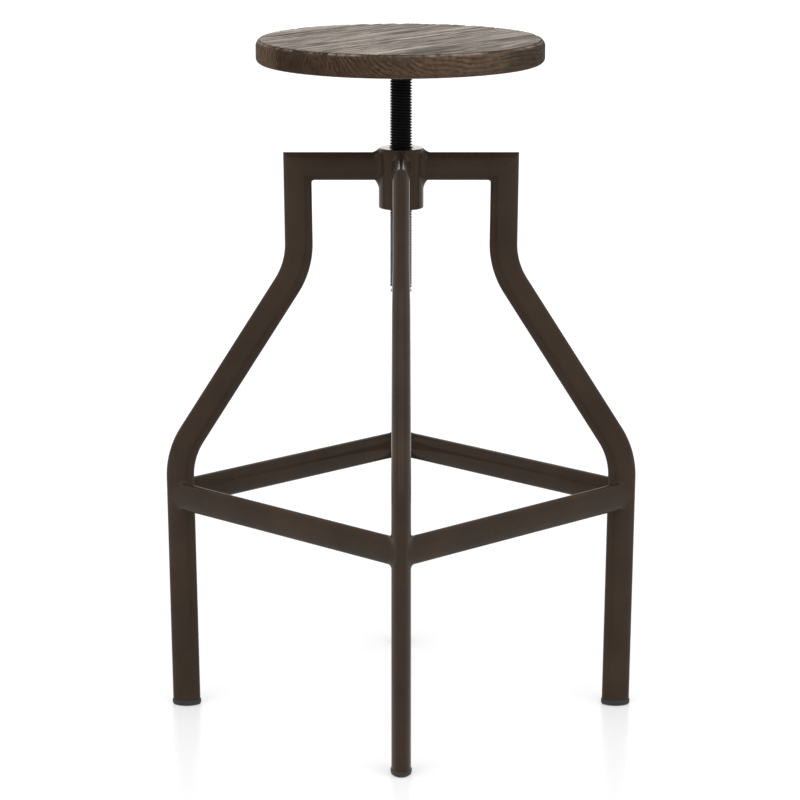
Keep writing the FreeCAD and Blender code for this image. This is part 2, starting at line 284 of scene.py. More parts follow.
def oval_tube_tree():
    """Sweeps a section along a bent path, cuts both ends to a plane, and slims the upper part to a waist."""
    tree = bpy.data.node_groups.new("oval_tube", "GeometryNodeTree")
    socket(tree, "Path And Section", "Geometry")
    socket(tree, "Bend Radius", "Float", default=bend_radius)
    socket(tree, "Waist", "Float", default=1.0)
    socket(tree, "Waist From", "Float", default=waist_from)
    socket(tree, "Waist To", "Float", default=waist_to)
    for name in ("Side", "Start Point", "Start Normal", "End Point", "End Normal"):
        socket(tree, name, "Vector")
    socket(tree, "Finish", "Material")
    socket(tree, "Tube", "Geometry", way="OUTPUT")
    given = put(tree, "NodeGroupInput").outputs
    marked = put(tree, "GeometryNodeInputNamedAttribute", {"Name": "section"}, data_type="BOOLEAN")
    parted = put(
        tree,
        "GeometryNodeSeparateGeometry",
        {"Geometry": given["Path And Section"], "Selection": marked.outputs["Attribute"]},
    ).outputs
    section = put(tree, "GeometryNodeMeshToCurve", {"Mesh": parted["Selection"]}).outputs["Curve"]
    line = put(tree, "GeometryNodeMeshToCurve", {"Mesh": parted["Inverted"]}).outputs["Curve"]
    bent = put(
        tree,
        "GeometryNodeFilletCurve",
        {"Curve": line, "Count": 16, "Radius": given["Bend Radius"]},
        mode="POLY",
    ).outputs["Curve"]
    upright = put(
        tree, "GeometryNodeSetCurveNormal", {"Curve": bent, "Normal": given["Side"]}, mode="FREE"
    ).outputs["Curve"]
    run = put(tree, "GeometryNodeInputTangent").outputs["Tangent"]
    first = put(tree, "GeometryNodeCurveEndpointSelection", {"Start Size": 1, "End Size": 0})
    last = put(tree, "GeometryNodeCurveEndpointSelection", {"Start Size": 0, "End Size": 1})
    caught = put(tree, "GeometryNodeCaptureAttribute", {"Geometry": upright})
    for kind, name, value in (
        ("VECTOR", "Run", run),
        ("BOOLEAN", "First", first.outputs["Selection"]),
        ("BOOLEAN", "Last", last.outputs["Selection"]),
    ):
        caught.capture_items.new(kind, name)
        tree.links.new(value, caught.inputs[name])
    tube = put(
        tree,
        "GeometryNodeCurveToMesh",
        {"Curve": caught.outputs["Geometry"], "Profile Curve": section, "Fill Caps": True},
    ).outputs["Mesh"]
    for ring, end in (("First", "Start"), ("Last", "End")):
        plane = given[end + " Point"], given[end + " Normal"]
        tube = slide_to_plane(tree, tube, caught.outputs[ring], caught.outputs["Run"], *plane)
    here = put(tree, "GeometryNodeInputPosition").outputs["Position"]
    height = put(tree, "ShaderNodeSeparateXYZ", {"Vector": here}).outputs["Z"]
    change = put(
        tree,
        "ShaderNodeMapRange",
        {
            "Value": height,
            "From Min": given["Waist From"],
            "From Max": given["Waist To"],
            "To Min": 1.0,
            "To Max": given["Waist"],
        },
        interpolation_type="SMOOTHSTEP",
    ).outputs["Result"]
    slimmer = put(tree, "ShaderNodeMath", {0: change, 1: 1.0}, operation="SUBTRACT").outputs["Value"]
    aside = put(
        tree, "ShaderNodeVectorMath", {0: here, 1: given["Side"]}, operation="DOT_PRODUCT"
    ).outputs["Value"]
    draw_in = put(tree, "ShaderNodeMath", {0: aside, 1: slimmer}, operation="MULTIPLY").outputs["Value"]
    move = put(
        tree, "ShaderNodeVectorMath", {0: given["Side"], "Scale": draw_in}, operation="SCALE"
    ).outputs["Vector"]
    tube = put(tree, "GeometryNodeSetPosition", {"Geometry": tube, "Offset": move}).outputs["Geometry"]
    whole = put(tree, "GeometryNodeRealizeInstances", {"Geometry": tube}).outputs["Geometry"]
    done = put(tree, "GeometryNodeSetMaterial", {"Geometry": whole, "Material": given["Finish"]})
    put(tree, "NodeGroupOutput", {"Tube": done.outputs["Geometry"]})
    return tree


def grown(name, tree, start_mesh, values):
    """Runs a geometry tree once on a start mesh, and returns the result as a plain mesh."""
    holder = bpy.data.objects.new(name + "_holder", start_mesh)
    bpy.context.scene.collection.objects.link(holder)
    modifier = holder.modifiers.new(name, "NODES")
    modifier.node_group = tree
    for item in tree.interface.items_tree:
        if item.in_out == "INPUT" and item.name in values:
            modifier[item.identifier] = values[item.name]
    graph = bpy.context.evaluated_depsgraph_get()
    mesh = bpy.data.meshes.new_from_object(holder.evaluated_get(graph))
    mesh.name = name
    holder.modifiers.clear()
    bpy.data.objects.remove(holder)
    bpy.data.meshes.remove(start_mesh)
    return mesh


def path_and_section(points, outline):
    """A line of edges to sweep along, and a marked ring of edges for the section."""
    mesh = bpy.data.meshes.new("path_and_section")
    ring = [(across, deep, 0) for deep, across in outline]
    first = len(points)
    edges = [(i, i + 1) for i in range(first - 1)]
    edges += [(first + i, first + (i + 1) % len(ring)) for i in range(len(ring))]
    mesh.from_pydata([tuple(p) for p in points] + ring, edges, [])
    marks = [False] * first + [True] * len(ring)
    mesh.attributes.new("section", "BOOLEAN", "POINT").data.foreach_set("value", marks)
    return mesh


def oval_tube(name, points, outline, side, start_cut, end_cut, waist=1.0):
    """A bent tube, each end of which is cut by a plane given as (point, normal)."""
    values = {"Side": tuple(side), "Waist": waist, "Finish": frame_lacquer}
    for end, (point, normal) in (("Start", start_cut), ("End", end_cut)):
        values[end + " Point"] = tuple(point)
        values[end + " Normal"] = tuple(normal)
    return closed(grown(name, tube_tree, path_and_section(points, outline), values))


def outwards(angle):
    """The level direction of a leg from the axis, and the level direction across it."""
    turn = math.radians(angle)
    out = Vector((math.cos(turn), math.sin(turn), 0))
    return out, Vector((-out.y, out.x, 0))


UP = Vector((0, 0, 1))
tube_tree = oval_tube_tree()
tube_section = oval_points(tube_depth, tube_width, tube_nose)[0]
for side_name, angle in leg_turns.items():
    out, across = outwards(angle)
    corner = out * corner_reach + UP * arm_height
    points = [corner] + [out * reach + UP * height for reach, height in (upper_bend, lower_bend)]
    points.append(out * foot_reach)
    down = (points[1] - corner).normalized()
    mitre = (corner, (out + down).normalized())
    arm_start = out * arm_root + UP * arm_height
    arm_line = [arm_start, corner]
    arm_cut = (arm_start, out)
    arm = oval_tube("arm_tube_" + side_name, arm_line, tube_section, across, arm_cut, mitre, tube_waist)
    fit("arm_tube_" + side_name, arm, frame_lacquer, "frame", "frame_lacquer", "arm_" + side_name)
    foot_cut = (UP * foot_height, UP)
    leg = oval_tube("leg_tube_" + side_name, points, tube_section, across, mitre, foot_cut, tube_waist)
    fit("leg_tube_" + side_name, leg, frame_lacquer, "frame", "frame_lacquer", "leg_" + side_name)


# Footrest rails
# Four lengths of a thinner oval tube, set on edge between the legs and coped to their flanks.
# Their outer faces run onto the noses of the legs, so that the joints look smooth from outside.

rail_height = 0.2380
rail_width = 0.015
rail_nose = 0.0055
rail_set_in = 0.0003
rail_turns = {"rear_right": 0, "rear_left": 90, "front_left": 180, "front_right": 270}


def leg_reach(height):
    """How far the lower leg's centre line stands from the axis."""
    return foot_reach + height / lower_bend[1] * (lower_bend[0] - foot_reach)


nose_reach = leg_reach(rail_height) + tube_depth / 2 - tube_nose
rail_line = nose_reach + (tube_nose - rail_set_in - rail_width / 2) * math.sqrt(2)
rail_section = oval_points(tube_depth, rail_width, rail_nose)[0]
rail_end = (tube_nose - rail_set_in) / math.sqrt(2)
for side_name, angle in rail_turns.items():
    out, across = outwards(angle)
    start = out * rail_line + UP * rail_height
    end = across * rail_line + UP * rail_height
    rail = oval_tube(
        "rail_tube_" + side_name,
        [start, end],
        rail_section,
        (out + across).normalized(),
        (across * rail_end, across),
        (out * rail_end, out),
    )
    fit("rail_tube_" + side_name, rail, frame_lacquer, "frame", "frame_lacquer", "rail_" + side_name)


# Welds
# Fillets of weld metal round the roots of the arms, round the ends of the rails and in the mitres.
# They are brushed smooth and lacquered over, and keep a slight waviness from the welder's hand.

weld_steps = 9
hub_weld = {"along_top": 0.0068, "along_low": 0.0042, "hub_top": 0.0042, "hub_low": 0.0085, "side": 0.0028}
hub_weld_fullness = 0.65
rail_weld_leg = 0.0046
rail_weld_spread = 0.6
mitre_weld_leg = 0.0034
weld_sink = 0.0012
weld_wave = 0.12
weld_wave_pace = 130
mitre_weld_sink = 0.3


def bead_profile(on_tube, crease, on_base, sunk, fullness=0.0):
    """A fillet from the tube to the base, hollow or nearly flat, closed by a point sunk in the metal."""
    shares = np.linspace(0, 1, weld_steps)[:, None]
    middle = crease + fullness * ((on_tube + on_base) / 2 - crease)
    curve = (1 - shares) ** 2 * on_tube + 2 * shares * (1 - shares) * middle + shares**2 * on_base
    return list(curve) + [sunk]


def bead_ring(sections):
    """Faces that join closed sections, one after the other, into a ring."""
    count = len(sections[0])
    faces = []
    for number in range(len(sections)):
        here = number * count
        there = (number + 1) % len(sections) * count
        for i in range(count):
            j = (i + 1) % count
            faces.append((here + i, here + j, there + j, there + i))
    return [p for section in sections for p in section], faces


def joined_mesh(name, parts):
    """One mesh of several closed shells."""
    points = []
    faces = []
    for part_points, part_faces in parts:
        faces += [tuple(i + len(points) for i in face) for face in part_faces]
        points += part_points
    return closed_mesh(name, points, faces)


def waviness(point):
    """How the welder's hand swells or thins a weld at a point."""
    return 1 + weld_wave * noise.noise(Vector(point) * weld_wave_pace)


def hub_bead(out, across):
    """The weld round the root of an arm, heavier above and below than at its sides."""
    sections = []
    for (z, y), (nz, ny) in zip(*slim_oval):
        rise = max(nz, 0)
        fall = max(-nz, 0)
        level = 1 - abs(nz)
        along = rise * hub_weld["along_top"] + fall * hub_weld["along_low"] + level * hub_weld["side"]
        onto = rise * hub_weld["hub_top"] + fall * hub_weld["hub_low"] + level * hub_weld["side"]

        def place(x, y, z):
            return np.array(out) * x + np.array(across) * y + np.array((0, 0, arm_height + z))

        crease_x = math.sqrt(hub_radius**2 - y**2)
        crease = place(crease_x, y, z)
        swell = waviness(crease)
        far_y = y + ny * onto * swell
        far_z = z + nz * onto * swell
        on_hub = place(math.sqrt(hub_radius**2 - far_y**2), far_y, far_z)
        on_arm = place(crease_x + along * swell, y, z)
        sunk = place(crease_x - weld_sink, y - ny * weld_sink, z - nz * weld_sink)
        sections.append(bead_profile(on_arm, crease, on_hub, sunk, hub_weld_fullness))
    return bead_ring(sections)


def off_the_leg(point, out, across):
    """How far a point stands off the surface of a lower leg, and the leg's outward normal there."""
    deep = tube_depth / 2 - tube_nose
    gap = tube_width / 2 - tube_nose
    drop = (deep**2 - gap**2) / (2 * gap)
    place = np.array((point @ out - leg_reach(point[2]), point @ across))
    sign = np.where(place < 0, -1.0, 1.0)
    place = abs(place)
    by_nose = deep * (place[1] + drop) < drop * place[0]
    centre, radius = ((deep, 0), tube_nose) if by_nose else ((0, -drop), gap + drop + tube_nose)
    away = place - centre
    length = np.linalg.norm(away)
    away = sign * away / length
    return length - radius, out * away[0] + across * away[1]


def rail_bead(out, across):
    """The fillet round the end of a rail that is coped to the flank of the leg in direction out."""
    out, across = np.array(out), np.array(across)
    along = (across - out) / math.sqrt(2)
    outer = (across + out) / math.sqrt(2)
    sections = []
    for (z, n), (nz, nn) in zip(*oval_points(tube_depth, rail_width, rail_nose)):
        base = out * rail_line + outer * n + (0, 0, rail_height + z)
        run = np.linspace(0.030, 0.004, 131)
        off = [off_the_leg(base + along * t, out, across)[0] for t in run]
        first = int(np.argmax(np.array(off) < 0)) if min(off) < 0 else int(np.argmin(off))
        crease = base + along * run[first]
        leg_normal = off_the_leg(crease, out, across)[1]
        rail_normal = outer * nn + np.array((0, 0, nz))
        size = rail_weld_leg * waviness(crease) * (1 + rail_weld_spread * max(nn, 0) ** 2)
        toe = rail_normal - (rail_normal @ leg_normal) * leg_normal
        toe = crease + toe / max(np.linalg.norm(toe), 0.3) * size
        gap, toe_normal = off_the_leg(toe, out, across)
        sunk = leg_normal + rail_normal
        sunk = crease - sunk / max(np.linalg.norm(sunk), 0.3) * weld_sink
        sections.append(bead_profile(crease + along * size, crease, toe - gap * toe_normal, sunk))
    return bead_ring(sections)


def mitre_bead(out, across):
    """The small fillet in the inner corner between an arm and its leg, fading out on the flanks."""
    out, across = np.array(out), np.array(across)
    corner = out * corner_reach + np.array((0, 0, arm_height))
    down = out * (upper_bend[0] - corner_reach) + np.array((0, 0, upper_bend[1] - arm_height))
    down = down / np.linalg.norm(down)
    mitre = out + down
    rows = zip(*slim_oval)
    inner = sorted((y, z, -nz) for (z, y), (nz, ny) in rows if nz < -0.05)
    sections = []
    for y, z, facing in inner:
        start = across * y + np.array((0, 0, arm_height + z))
        crease = start + out * (((corner - start) @ mitre) / (out @ mitre))
        size = mitre_weld_leg * facing * waviness(crease)
        sunk = crease + (out - down) * mitre_weld_sink * size
        sections.append(bead_profile(crease - out * size, crease, crease + down * size, sunk))
    points, faces = bead_ring(sections)
    count = len(sections[0])
    faces = faces[: (len(sections) - 1) * count]
    faces.append(tuple(range(count)))
    faces.append(tuple(range(len(points) - count, len(points))))
    return points, faces


slim_oval = oval_points(tube_depth, tube_width * tube_waist, tube_nose * tube_waist)
leg_ways = [outwards(angle) for angle in leg_turns.values()]
hub_beads = joined_mesh("hub_weld_beads", [hub_bead(*way) for way in leg_ways])
fit("hub_weld_beads", hub_beads, frame_lacquer, "frame", "frame_lacquer", "hub_welds")
rail_beads = joined_mesh("rail_weld_beads", [rail_bead(o, a * s) for o, a in leg_ways for s in (1, -1)])
fit("rail_weld_beads", rail_beads, frame_lacquer, "frame", "frame_lacquer", "rail_welds")
mitre_beads = joined_mesh("mitre_weld_beads", [mitre_bead(*way) for way in leg_ways])
fit("mitre_weld_beads", mitre_beads, frame_lacquer, "frame", "frame_lacquer")


# Foot plugs
# Black polyethylene plugs, moulded in one piece and driven into the open ends of the legs.
# The flange carries the leg on the floor, and its lip stands a little proud of the tube.

plug_lip = 0.0008
plug_black = (0.012, 0.012, 0.013, 1)
plug_dust = (0.030, 0.029, 0.028, 1)
plug_levels = [(-0.0030, 0.0062), (0.0002, 0.0062), (0.0006, 0.0059), (plug_lip, 0.0053), (plug_lip, 0.0025)]
plug_levels += [(0.0003, 0.0010), (-0.0006, 0.0003), (-0.0020, 0.0)]


def moulded_plastic():
    """Matt black plastic with a fine moulded texture and a little floor dust."""
    material, tree, shader, place = new_finish("moulded_plastic")
    grain = put(tree, "ShaderNodeTexNoise", {"Vector": place, "Scale": 900, "Detail": 3})
    dust = put(tree, "ShaderNodeTexNoise", {"Vector": place, "Scale": 90, "Detail": 5})
    colour = ramp(tree, dust.outputs["Fac"], [(0.45, plug_black), (0.85, plug_dust)])
    tree.links.new(colour, shader.inputs["Base Color"])
    tree.links.new(spread(tree, grain.outputs["Fac"], 0.45, 0.62), shader.inputs["Roughness"])
    bump = put(
        tree, "ShaderNodeBump", {"Height": grain.outputs["Fac"], "Strength": 0.15, "Distance": 0.0003}
    )
    tree.links.new(bump.outputs["Normal"], shader.inputs["Normal"])
    return material


def plug_mesh(name, out, across):
    """Rounded outlines stacked from the tube's end down to the floor."""
    points = []
    for grow, height in plug_levels:
        middle = np.array(out) * leg_reach(height) + np.array((0, 0, height))
        outline, normals = oval_points(tube_depth, tube_width, tube_nose)
        for (d, w), (nd, nw) in zip(outline, normals):
            points.append(middle + np.array(out) * (d + nd * grow) + np.array(across) * (w + nw * grow))
    count = len(outline)
    faces = [tuple(range(count)), tuple(range(len(points) - count, len(points)))]
    for level in range(len(plug_levels) - 1):
        for i in range(count):
            j = (i + 1) % count
            here = level * count
            faces.append((here + i, here + j, here + count + j, here + count + i))
    return closed_mesh(name, points, faces)


plug_plastic = moulded_plastic()
for side_name, angle in leg_turns.items():
    mesh = plug_mesh("plug_" + side_name, *outwards(angle))
    fit("plug_" + side_name, mesh, plug_plastic, "frame", "plug_plastic", "foot_plug_" + side_name)


# Screw
# A steel bar with a coarse right-hand thread, blackened, that carries the seat and climbs in the hub.
# Its lower end is turned down to a neck, which holds the stop ring, and is peened over.

screw_low, screw_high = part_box("seat_screw")
screw_radius = screw_high.x
thread_pitch = 0.003
thread_depth = 0.0023
thread_crest = 0.0004
neck_top = 0.4666
neck_radius = 0.008
end_radius = 0.0095
end_thickness = 0.0012
end_bevel = 0.0004
screw_black = (0.0060, 0.0055, 0.0052, 1)
screw_rubbed = (0.013, 0.0120, 0.0110, 1)


def blackened_steel():
    """Black oxide on steel, oiled, a little lighter where it rubs."""
    material, tree, shader, place = new_finish("blackened_steel")
    rub = put(tree, "ShaderNodeTexNoise", {"Vector": place, "Scale": 220, "Detail": 4})
    colour = ramp(tree, rub.outputs["Fac"], [(0.40, screw_black), (0.85, screw_rubbed)])
    tree.links.new(colour, shader.inputs["Base Color"])
    tree.links.new(spread(tree, rub.outputs["Fac"], 0.42, 0.60), shader.inputs["Roughness"])
    shader.inputs["Specular IOR Level"].default_value = 0.12
    return material


def thread_tree():
    """A ridge swept along a helix over the bar's core, at the pitch of the thread."""
    tree = bpy.data.node_groups.new("thread", "GeometryNodeTree")
    socket(tree, "Core", "Geometry")
    for name in ("Crest Radius", "Depth", "Pitch", "Crest Width", "Start Height", "Length"):
        socket(tree, name, "Float")
    socket(tree, "Finish", "Material")
    socket(tree, "Screw", "Geometry", way="OUTPUT")
    given = put(tree, "NodeGroupInput").outputs

    def reckon(operation, a, b):
        return put(tree, "ShaderNodeMath", {0: a, 1: b}, operation=operation).outputs["Value"]

    turns = reckon("DIVIDE", given["Length"], given["Pitch"])
    helix = put(
        tree,
        "GeometryNodeCurveSpiral",
        {
            "Resolution": 40,
            "Rotations": turns,
            "Start Radius": given["Crest Radius"],
            "End Radius": given["Crest Radius"],
            "Height": given["Length"],
            "Reverse": False,
        },
    ).outputs["Curve"]
    level = put(tree, "GeometryNodeSetCurveNormal", {"Curve": helix}, mode="Z_UP").outputs["Curve"]
    root_width = reckon("MULTIPLY", given["Pitch"], 0.98)
    ridge = put(
        tree,
        "GeometryNodeCurvePrimitiveQuadrilateral",
        {
            "Bottom Width": root_width,
            "Top Width": given["Crest Width"],
            "Height": given["Depth"],
            "Offset": 0.0,
        },
        mode="TRAPEZOID",
    ).outputs["Curve"]
    half_depth = reckon("MULTIPLY", given["Depth"], -0.5)
    drop = put(tree, "ShaderNodeCombineXYZ", {"Y": half_depth}).outputs["Vector"]
    ridge = put(
        tree, "GeometryNodeTransform", {"Geometry": ridge, "Translation": drop}
    ).outputs["Geometry"]
    ridge = put(
        tree, "GeometryNodeTransform", {"Geometry": ridge, "Rotation": (0, 0, math.pi / 2)}
    ).outputs["Geometry"]
    thread = put(
        tree, "GeometryNodeCurveToMesh", {"Curve": level, "Profile Curve": ridge, "Fill Caps": True}
    ).outputs["Mesh"]
    lift = put(tree, "ShaderNodeCombineXYZ", {"Z": given["Start Height"]}).outputs["Vector"]
    thread = put(
        tree, "GeometryNodeTransform", {"Geometry": thread, "Translation": lift}
    ).outputs["Geometry"]
    both = put(tree, "GeometryNodeJoinGeometry")
    tree.links.new(given["Core"], both.inputs["Geometry"])
    tree.links.new(thread, both.inputs["Geometry"])
    whole = put(tree, "GeometryNodeRealizeInstances", {"Geometry": both.outputs["Geometry"]})
    done = put(
        tree, "GeometryNodeSetMaterial", {"Geometry": whole.outputs["Geometry"], "Material": given["Finish"]}
    )
    put(tree, "NodeGroupOutput", {"Screw": done.outputs["Geometry"]})
    return tree


screw_finish = blackened_steel()
root_radius = screw_radius - thread_depth
core_radius = root_radius + 0.0001
end_top = screw_low.z + end_thickness
core_profile = [(0, screw_low.z), (0.0088, screw_low.z), (end_radius, screw_low.z + end_bevel)]
core_profile += [(end_radius, end_top), (neck_radius, end_top), (neck_radius, neck_top)]
core_profile += [(core_radius, neck_top), (core_radius, screw_high.z), (0, screw_high.z)]
core = turned_mesh("screw_core", core_profile, 64)
thread_values = {
    "Crest Radius": screw_radius,
    "Depth": thread_depth,
    "Pitch": thread_pitch,
    "Crest Width": thread_crest,
    "Start Height": neck_top + thread_pitch / 2,
    "Length": screw_high.z - neck_top - thread_pitch,
    "Finish": screw_finish,
}
screw_mesh = grown("threaded_screw", thread_tree(), core, thread_values)
fit("threaded_screw", screw_mesh, screw_finish, "seat", "screw_steel", "seat_screw", crease=30)


# Stop ring
# A loose steel washer on the neck of the screw. It meets the hub's lower face when the seat is wound up.

ring_low, ring_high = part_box("screw_stop_ring")
ring_bore = 0.0081
ring_edge = 0.0004
bright_steel = (0.38, 0.37, 0.36, 1)
stained_steel = (0.22, 0.21, 0.20, 1)


def turned_steel():
    """Bare steel with fine turning marks and a few stains."""
    material, tree, shader, place = new_finish("turned_steel")
    marks = put(tree, "ShaderNodeTexNoise", {"Vector": place, "Scale": 400, "Detail": 4})
    colour = ramp(tree, marks.outputs["Fac"], [(0.35, stained_steel), (0.65, bright_steel)])
    tree.links.new(colour, shader.inputs["Base Color"])
    tree.links.new(spread(tree, marks.outputs["Fac"], 0.30, 0.50), shader.inputs["Roughness"])
    shader.inputs["Metallic"].default_value = 1.0
    return material


ring_radius = ring_high.x
ring_profile = (
    rounded((ring_radius - ring_edge, ring_low.z + ring_edge), ring_edge, -90, 0, 3)
    + rounded((ring_radius - ring_edge, ring_high.z - ring_edge), ring_edge, 0, 90, 3)
    + [(ring_bore, ring_high.z), (ring_bore, ring_low.z)]
)
ring_mesh = turned_mesh("stop_washer", ring_profile)
fit("stop_washer", ring_mesh, turned_steel(), "lift", "ring_steel", "screw_stop_ring")


# Seat staves
# Five staves of softwood, edge glued and turned to a round, wire brushed and stained grey brown.
# Brushing wears the soft early wood into long grooves, so the hard rings stand up along the grain.
# The rim shows end grain, painted darker than the top partly as shade, and the top is painted paler partly
# as sheen from the light above.
# Its upper edge is rubbed pale and chipped, with painted shade along the crease and in the chips, and the
# seat sits a little out of true.

seat_radius = 0.1530
seat_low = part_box("seat_stave_3")[0].z
seat_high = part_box("seat_stave_3")[1].z
seat_round = 0.0080
seat_round_start = 62
seat_low_round = 0.0055
seat_aside = -0.0008
seat_tilt = math.radians(0.30)
stave_width = 0.061
stave_margin = 0.0005
rim_margin = 0.00004
stave_slices = 210
top_points = 120
low_points = 30
grain_turn = math.radians(50)
grain = np.array((math.cos(grain_turn), math.sin(grain_turn), 0))
cross_grain = np.array((-math.sin(grain_turn), math.cos(grain_turn), 0))
groove_depth = 0.0009
groove_count = 24
broad_grooves = 9
broad_groove = {"width": (0.0013, 0.0036), "strength": (0.55, 1.0)}
fine_groove = {"width": (0.0006, 0.0012), "strength": (0.25, 0.5)}
crack_stave = 2
crack_middle = -0.100
crack_half = 0.035
crack_over = 0.0285
crack_lean = 0.02
crack_width = 0.0008
ring_width = 0.0042
ring_relief = 0.00016
pith_places = [(-0.018, 0.060), (-0.049, 0.050), (-0.014, 0.010), (0.110, 0.014), (-0.030, 0.090)]
edge_chips = [(226.5, 1.9, 0.0011), (231.0, 0.9, 0.0013), (234.5, 1.6, 0.0009), (261, 1.5, 0.0010)]
edge_chips += [(285, 0.8, 0.0007), (312, 1.2, 0.0008), (140, 1.0, 0.0010), (152, 0.8, 0.0008)]
edge_chips += [(60, 1.2, 0.0009)]
nail_hole = (274.3, 0.7310, 0.0010)
nail_hole_depth = 0.0012
# The top's colours, painted paler than the rim partly as sheen from the light above.
wood_light = (0.465, 0.430, 0.395, 1)
wood_mid = (0.345, 0.315, 0.286, 1)
wood_dark = (0.165, 0.142, 0.123, 1)
# The pores' colour, also used for the painted shade along the crease, in the chips and in the nail hole.
pore_and_painted_shade_brown = (0.030, 0.0220, 0.0175, 1)
# The rim's colours: end grain, painted darker than the top partly as shade on the outward faces.
shaded_end_grain_pale = (0.122, 0.078, 0.047, 1)
shaded_end_grain_mid = (0.078, 0.0485, 0.0298, 1)
shaded_end_grain_deep = (0.032, 0.0205, 0.0136, 1)
rubbed_edge = (0.46, 0.37, 0.315, 1)
rim_turns = (0, 90, 180, 209, 216, 228, 242, 266, 285, 305, 325, 345, 360)
rim_tones = (0.45, 0.9, 1.15, 1.30, 0.50, 0.68, 0.85, 0.97, 1.20, 1.25, 0.70, 0.45, 0.45)
stave_tones = (0.84, 0.90, 1.06, 1.0, 0.96)


def brushed_wood():
    """Stained softwood: growth rings about each stave's pith, fibres, pores and dark brushed grooves, with
    painted shade along the crease, in the chips and in the nail hole; the rim is painted darker partly as
    shade, and the top paler partly as sheen.
    """
    material, tree, shader, _ = new_finish("brushed_wood")
    place = put(tree, "ShaderNodeAttribute", attribute_name="grain_place").outputs["Vector"]
    # The groove mask also carries painted shade along the crease, in the chips and in the nail hole.
    groove = put(tree, "ShaderNodeAttribute", attribute_name="groove").outputs["Fac"]
    # The rim's share: end grain, and painted shade on the faces that look outwards.
    end_grain_and_shade_share = put(tree, "ShaderNodeAttribute", attribute_name="end_grain_and_painted_shade").outputs["Fac"]
    wear = put(tree, "ShaderNodeAttribute", attribute_name="edge_wear").outputs["Fac"]
    tone = put(tree, "ShaderNodeAttribute", attribute_name="tone").outputs["Vector"]

    def stretched(along, over):
        return put(
            tree, "ShaderNodeVectorMath", {0: place, 1: (along, over, over)}, operation="MULTIPLY"
        ).outputs["Vector"]

    def texture(along, over, detail=3.0, rough=0.55):
        made = put(
            tree,
            "ShaderNodeTexNoise",
            {"Vector": stretched(along, over), "Scale": 1.0, "Detail": detail, "Roughness": rough},
        )
        return made.outputs["Fac"]

    def reckon(operation, a, b):
        return put(tree, "ShaderNodeMath", {0: a, 1: b}, operation=operation).outputs["Value"]

    def window(value, low, high, to_low=0.0, to_high=1.0):
        made = put(
            tree,
            "ShaderNodeMapRange",
            {"Value": value, "From Min": low, "From Max": high, "To Min": to_low, "To Max": to_high},
        )
        return made.outputs["Result"]

    def grey(level):
        return (level, level * 0.985, level * 0.97, 1)

    off_pith = stretched(0.0, 1.0)
    from_pith = put(tree, "ShaderNodeVectorMath", {0: off_pith}, operation="LENGTH").outputs["Value"]
    wander = window(texture(6, 45, 4.0), 0.0, 1.0, -0.007, 0.007)
    shiver = window(texture(30, 190, 3.0, 0.7), 0.0, 1.0, -0.0022, 0.0022)
    wandered = reckon("ADD", reckon("ADD", from_pith, wander), shiver)
    ring = reckon("FRACT", reckon("DIVIDE", wandered, ring_width), 0.0)
    ring_stops = [(0.0, wood_mid), (0.20, wood_light), (0.62, wood_mid), (0.88, wood_dark), (1.0, wood_mid)]
    ring_colour = ramp(tree, ring, ring_stops)
    ringed = mixed(tree, window(texture(8, 70), 0.35, 0.62, 0.15, 0.75), wood_mid, ring_colour)
    fibre = texture(16, 520, 5.0, 0.68)
    fibre_shade = ramp(tree, fibre, [(0.28, grey(0.55)), (0.72, grey(1.50))])
    fibred = mixed(tree, 0.85, ringed, fibre_shade, "MULTIPLY")
    streak_shade = ramp(tree, texture(6, 270, 3.0, 0.6), [(0.38, grey(0.52)), (0.62, grey(1.60))])
    streaked = mixed(tree, 0.9, fibred, streak_shade, "MULTIPLY")
    hairline = ramp(tree, texture(9, 480, 2.0), [(0.37, grey(0.36)), (0.46, grey(1.10))])
    lined = mixed(tree, 0.9, streaked, hairline, "MULTIPLY")
    broad_shade = ramp(tree, texture(4, 60, 3.0), [(0.34, grey(0.80)), (0.66, grey(1.16))])
    toned = mixed(tree, 0.8, lined, broad_shade, "MULTIPLY")
    rim_stops = [(0.0, shaded_end_grain_mid), (0.25, shaded_end_grain_pale), (0.60, shaded_end_grain_mid), (0.86, shaded_end_grain_deep), (1.0, shaded_end_grain_mid)]
    rim_ring = ramp(tree, ring, rim_stops)
    patches = window(texture(30, 40), 0.40, 0.62, 0.12, 1.0)
    patchy = reckon("MULTIPLY", patches, window(from_pith, 0.004, 0.018, 0.15))
    rim_ringed = mixed(tree, patchy, shaded_end_grain_mid, rim_ring)
    stain = ramp(tree, texture(90, 130, 4.0), [(0.36, grey(0.72)), (0.64, grey(1.25))])
    rim_stained = mixed(tree, 0.8, rim_ringed, stain, "MULTIPLY")
    ended = mixed(tree, 1.0, mixed(tree, end_grain_and_shade_share, toned, rim_stained), tone, "MULTIPLY")
    pore = window(texture(60, 900, 1.0), 0.66, 0.72, 0.0, 0.7)
    pored = mixed(tree, pore, ended, pore_and_painted_shade_brown)
    # The grooves are darkened towards the pore colour, and so are the crease, the chips and the nail hole,
    # as painted shade.
    darkened_for_grooves_and_shade = mixed(tree, reckon("MULTIPLY", groove, 0.9), pored, pore_and_painted_shade_brown)
    worn = mixed(tree, reckon("MULTIPLY", wear, 0.75), darkened_for_grooves_and_shade, rubbed_edge)
    tree.links.new(worn, shader.inputs["Base Color"])
    tree.links.new(window(fibre, 0.2, 0.8, 0.50, 0.70), shader.inputs["Roughness"])
    shader.inputs["Specular IOR Level"].default_value = 0.04
    bump = put(tree, "ShaderNodeBump", {"Height": fibre, "Strength": 0.7, "Distance": 0.0008})
    tree.links.new(bump.outputs["Normal"], shader.inputs["Normal"])
    return material


